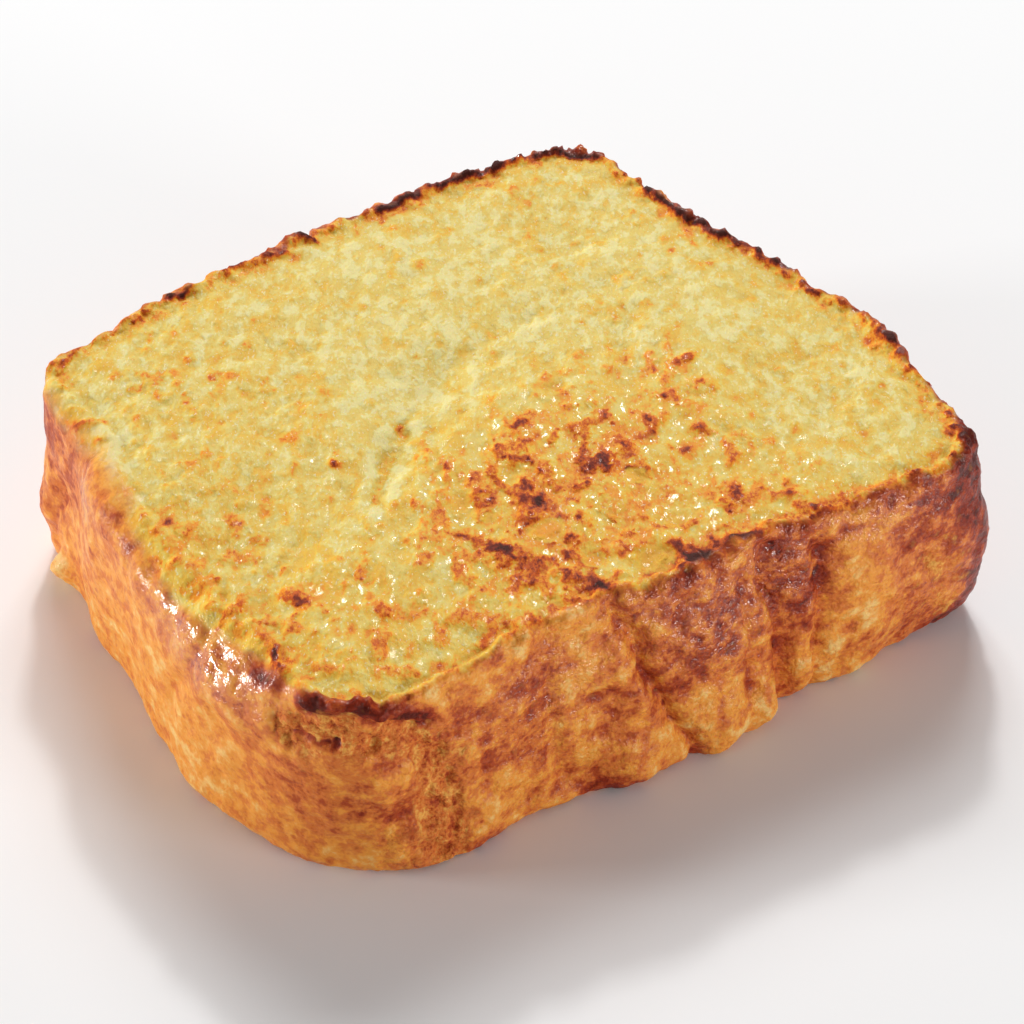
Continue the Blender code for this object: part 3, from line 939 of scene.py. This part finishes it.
def crumb_look(n, colours):
    """(colour, roughness, normal, glaze) of the cut faces, from the least to the most fried."""
    cut = stretched(n, GRAIN_BEARING, (GRAIN_LENGTH, 1.0, 1.0))
    browned, pressed, pool = n.kept("toast"), n.kept("pressed"), n.kept("pool")
    fibres = n.noise(0.5 * MM, 2.0, 0.6, cut)
    tufts = n.noise(2.2 * MM, 2.0, 0.6, cut)
    coarse = n.noise(1.2 * MM, 5.0, 0.75, cut)
    light = total(n, n.fit(fibres, 0.34, 0.66, 0.0, 0.35), n.fit(tufts, 0.36, 0.64, 0.0, 0.65))
    # scattered specks, more of them where the pan pressed
    dots = n.cells(5.0 * MM, cut)
    chosen = n.fit(total(n, dots.outputs["Color"], n.even(pressed, 0.1, 0.5, 0.0, 0.35)), 0.66, 0.80)
    specks = n.fit(total(n, dots.outputs["Distance"], n.either_way(coarse, 0.08)), 0.04, 0.20, 1.0, 0.0)
    # the browning is patchiest where it is neither faint nor dark
    patchy = n.times(n.fit(browned, 0.10, 0.46), n.fit(browned, 0.50, 0.75, 1.0, 0.45))
    amber = n.fit(n.noise(4.5 * MM, 2.0, 0.5, cut), 0.46, 0.62, 0.0, 0.16)
    toast = total(
        n,
        browned,
        n.even(light, 0.15, 0.85, 0.11, -0.10),
        n.even(n.noise(10 * MM, 2.0, 0.5), 0.35, 0.65, 0.00, 0.07),
        n.times(n.even(coarse, 0.3, 0.7, -0.26, 0.20), patchy),
        # darker amber in the pores and holes: partly the soaked crumb's own tint, partly painted warm shade
        n.times(n.kept("hollow"), 0.20),
        n.times(amber, n.fit(pressed, 0.15, 0.5)),
        n.times(n.times(specks, chosen), 0.26),
        n.fit(n.noise(3.2 * MM, 3.0, 0.6, cut), 0.48, 0.66, -0.02, 0.12),
    )
    colour_of = n.shades(toast, CRUMB_STOPS, [getattr(colours, name) for name in CRUMB_SHADES])
    # set custard in the holes, and painted glints: white specks on what isn't browned
    pooled = n.fit(total(n, pool, n.either_way(coarse, 0.20)), 0.15, 0.55)
    custard = n.shades(pool, (0.3, 1.0), (colours.gold_pool, colours.crumb_tan))
    colour_of = n.blend(pooled, colour_of, custard)
    flecks = n.fit(n.noise(0.42 * MM, 1.0, 0.5, cut), 0.63, 0.71, 0.0, 0.60)
    flecks = n.times(flecks, n.fit(browned, 0.25, 0.45, 1.0, 0.0))
    colour_of = n.blend(flecks, colour_of, rgba(colours.crumb_glint_white))
    # wet spots among the dry crumb
    spots = n.fit(n.noise(1.1 * MM, 2.0, 0.5, cut), 0.60, 0.68)
    glazed = n.maths("MAXIMUM", n.fit(pressed, 0.10, 0.42), n.fit(browned, 0.30, 0.60))
    wet = n.times(spots, glazed)
    rough = n.between(wet, 0.60, 0.30)
    height = total(
        n,
        n.times(light, n.between(glazed, 0.20, 0.08)),
        n.times(n.noise(0.7 * MM, 1.0, 0.5, cut), n.times(glazed, 0.24)),
        n.times(coarse, n.fit(browned, 0.30, 0.60, 0.0, 0.40)),
    )
    return colour_of, rough, n.bump(height, 0.8 * MM), n.times(wet, 0.85)


def crust_look(n, colours):
    """(colour, roughness, normal, glaze) of the crust, from the least to the most baked, with painted shade
    in its hollows.
    """
    dome, gloss, tear = n.kept("dome"), n.kept("gloss"), n.kept("tear")
    drawn = stretched(n, 0.0, (1.0, 1.0, 0.75))
    push = {0: n.noise(4.0 * MM, 2.0, 0.5, output="Color"), 1: (1.2 * MM,) * 3, 2: drawn}
    warped = n.new("ShaderNodeVectorMath", push, operation="MULTIPLY_ADD").outputs["Vector"]
    skin = n.noise(3.2 * MM, 3.0, 0.45, warped)
    crinkle = n.noise(1.5 * MM, 2.0, 0.5, warped)
    midline = n.maths("ABSOLUTE", n.maths("SUBTRACT", n.noise(2.4 * MM, 2.0, 0.55, warped), 0.5))
    wrinkle = n.fit(midline, 0.0, n.fit(dome, 0.0, 1.0, 0.10, 0.02))
    grain = n.noise(0.6 * MM, 2.0, 0.5)
    fleck = n.noise(2.2 * MM, 2.0, 0.5)
    dots = n.cells(2.8 * MM, n.position)
    near_dot = total(n, dots.outputs["Distance"], n.either_way(grain, 0.10))
    freckles = n.times(n.fit(near_dot, 0.06, 0.22, 1.0, 0.0), n.fit(dots.outputs["Color"], 0.60, 0.75))
    broad = n.even(n.noise(9 * MM, 3.0, 0.5), 0.32, 0.68, -0.16, 0.16)
    change = total(
        n,
        n.either_way(fleck, 0.15),
        n.times(broad, n.fit(dome, 0.0, 1.0, 1.0, 0.4)),
        n.either_way(grain, 0.09),
        # painted shade: darker in the hollows of the skin, the wrinkle grooves and the pits of the crinkles,
        # lighter on their ridges
        n.either_way(skin, -0.16),
        n.between(wrinkle, 0.03, -0.01),
        n.times(n.fit(crinkle, 0.35, 0.55, 0.10, -0.08), gloss),
        n.times(freckles, 0.26),
    )
    bake = total(n, n.kept("bake"), n.times(change, n.between(dome, 1.0, 0.85)))
    colour_of = n.shades(bake, CRUST_STOPS, [getattr(colours, name) for name in CRUST_SHADES])
    # shreds of dry crumb in the tear
    shreds = total(n, n.noise(0.7 * MM, 4.0, 0.7), n.either_way(fleck, 0.16))
    shred_colour = n.shades(shreds, SHRED_STOPS, [getattr(colours, name) for name in SHRED_SHADES])
    torn = n.fit(total(n, tear, n.either_way(fleck, 0.25)), 0.15, 0.55)
    colour_of = n.blend(torn, colour_of, shred_colour)
    rough = total(n, n.between(gloss, 0.45, 0.25), n.even(fleck, 0.35, 0.65, -0.08, 0.10))
    rough = total(n, rough, n.times(torn, 0.25))
    height = total(
        n,
        skin,
        n.times(wrinkle, 0.06),
        n.times(crinkle, n.between(gloss, 0.10, n.fit(dome, 0.0, 1.0, 0.65, 0.30))),
        n.times(grain, n.between(gloss, 0.22, n.fit(dome, 0.0, 1.0, 0.32, 0.12))),
    )
    depth = total(n, n.between(dome, 0.90 * MM, 0.45 * MM), n.times(torn, 0.6 * MM))
    # the glaze: none in the tear, and less in the pits between the grains
    glaze = n.times(n.even(gloss, 0.0, 0.8), n.fit(torn, 0.0, 1.0, 1.0, 0.0))
    glaze = n.times(glaze, n.fit(grain, 0.40, 0.60, n.fit(dome, 0.0, 1.0, 0.25, 0.6), 1.0))
    return colour_of, rough, n.bump(height, depth), glaze


def bread_material(colours):
    """Egg-soaked crumb and crust in one: which is which is stored with the mesh."""
    material = bpy.data.materials.new("brioche_crumb_and_crust")
    material.use_nodes = True
    surface = material.node_tree.nodes["Principled BSDF"]
    n = Nodes(material.node_tree)
    crumb = n.kept("crumb")
    of_crumb = crumb_look(n, colours)
    of_crust = crust_look(n, colours)
    for sockets, kind, inner, outer in zip(
        (("Base Color",), ("Roughness",), ("Normal", "Coat Normal"), ("Coat Weight",)),
        ("RGBA", "FLOAT", "VECTOR", "FLOAT"),
        of_crumb,
        of_crust,
    ):
        blended = n.blend(crumb, outer, inner, kind)
        for socket in sockets:
            n.put(surface.inputs[socket], blended)
    surface.inputs["Coat Roughness"].default_value = 0.13
    surface.inputs["Subsurface Weight"].default_value = 0.34
    surface.inputs["Subsurface Radius"].default_value = (1.0, 0.55, 0.22)
    surface.inputs["Subsurface Scale"].default_value = 0.9 * MM
    surface.inputs["Specular IOR Level"].default_value = 0.20
    surface.inputs["Specular Tint"].default_value = (1.0, 0.84, 0.70, 1.0)
    return material


class TOAST_OT_build_slice(bpy.types.Operator):
    """Builds the slice: one closed skin of crumb and crust"""

    bl_idname = "toast.build_slice"
    bl_label = "Slice of brioche"

    def execute(self, context):
        piece = grid_box("brioche_slice", GRID)
        dress(piece.data, read_points(piece.data), context.scene.toast_form)
        self.thin_underside(piece, read_points(piece.data))
        piece.data.materials.append(bread_material(context.scene.toast_colours))
        piece.data.shade_smooth()
        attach(piece, "root")
        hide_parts("toast_slice")
        return {"FINISHED"}

    def thin_underside(self, piece, points):
        """Leaves fewer faces below than above, and fewer than 200,000 triangles in all."""
        group = piece.vertex_groups.new(name="underside")
        group.add(np.nonzero(points[:, 2] < NEAR_FLOOR)[0].tolist(), 1.0, "REPLACE")
        modifier = piece.modifiers.new("thin", "DECIMATE")
        modifier.vertex_group = group.name
        modifier.vertex_group_factor = 6.0
        modifier.ratio = KEPT_SHARE
        view = bpy.context.evaluated_depsgraph_get()
        thinned = bpy.data.meshes.new_from_object(piece.evaluated_get(view))
        piece.modifiers.clear()
        whole, piece.data = piece.data, thinned
        bpy.data.meshes.remove(whole)
        thinned.name = piece.name


class TOAST_OT_build_stage(bpy.types.Operator):
    """Adds the floor, the lights and the camera"""

    bl_idname = "toast.build_stage"
    bl_label = "Stage"

    def execute(self, context):
        stage = context.scene.toast_stage
        self.add_floor(stage)
        self.add_camera(stage)
        for name, place, size in LIGHTS:
            self.add_light(name, place, size, getattr(stage, name))
        world = bpy.data.worlds.new("studio")
        context.scene.world = world
        world.use_nodes = True
        background = world.node_tree.nodes["Background"]
        background.inputs["Color"].default_value = (1, 1, 1, 1)
        background.inputs["Strength"].default_value = stage.sky
        context.scene.view_settings.view_transform = "Standard"
        return {"FINISHED"}

    def add_floor(self, stage):
        bpy.ops.mesh.primitive_plane_add(size=8.0)
        floor = bpy.context.object
        floor.name = "floor"
        material = bpy.data.materials.new("floor")
        material.use_nodes = True
        surface = material.node_tree.nodes["Principled BSDF"]
        surface.inputs["Base Color"].default_value = rgba(stage.floor)
        surface.inputs["Roughness"].default_value = 0.9
        surface.inputs["Specular IOR Level"].default_value = 0.1
        floor.data.materials.append(material)

    def add_camera(self, stage):
        camera = bpy.data.objects.new("camera", bpy.data.cameras.new("camera"))
        bpy.context.scene.collection.objects.link(camera)
        camera.data.lens = stage.lens
        camera.data.sensor_width = 36.0
        camera.location = CAMERA_PLACE
        look = Vector(CAMERA_TARGET) - camera.location
        camera.rotation_euler = look.to_track_quat("-Z", "Y").to_euler()
        bpy.context.scene.camera = camera

    def add_light(self, name, place, size, watts):
        light = bpy.data.objects.new(name, bpy.data.lights.new(name, "AREA"))
        bpy.context.scene.collection.objects.link(light)
        light.data.energy = watts
        light.data.shape = "RECTANGLE"
        light.data.size, light.data.size_y = size
        light.location = place
        light.rotation_euler = (-Vector(place)).to_track_quat("-Z", "Y").to_euler()


class TOAST_PT_panel(bpy.types.Panel):
    """Lists the pieces and their settings"""

    bl_idname = "TOAST_PT_panel"
    bl_label = "French toast"
    bl_space_type = "VIEW_3D"
    bl_region_type = "UI"
    bl_category = "French toast"

    def draw(self, context):
        scene = context.scene
        for settings, operator in (
            (scene.toast_form, TOAST_OT_build_slice),
            (scene.toast_colours, None),
            (scene.toast_stage, TOAST_OT_build_stage),
        ):
            box = self.layout.box()
            for name in settings.__annotations__:
                box.prop(settings, name)
            if operator:
                box.operator(operator.bl_idname)


CLASSES = (
    ToastForm,
    ToastColours,
    StageSettings,
    TOAST_OT_build_slice,
    TOAST_OT_build_stage,
    TOAST_PT_panel,
)


def register():
    for cls in CLASSES:
        bpy.utils.register_class(cls)
    bpy.types.Scene.toast_form = bpy.props.PointerProperty(type=ToastForm)
    bpy.types.Scene.toast_colours = bpy.props.PointerProperty(type=ToastColours)
    bpy.types.Scene.toast_stage = bpy.props.PointerProperty(type=StageSettings)


def unregister():
    del bpy.types.Scene.toast_stage
    del bpy.types.Scene.toast_colours
    del bpy.types.Scene.toast_form
    for cls in reversed(CLASSES):
        bpy.utils.unregister_class(cls)


def main():
    register()
    bpy.ops.toast.build_slice()
    bpy.ops.toast.build_stage()


if __name__ == "__main__":
    main()
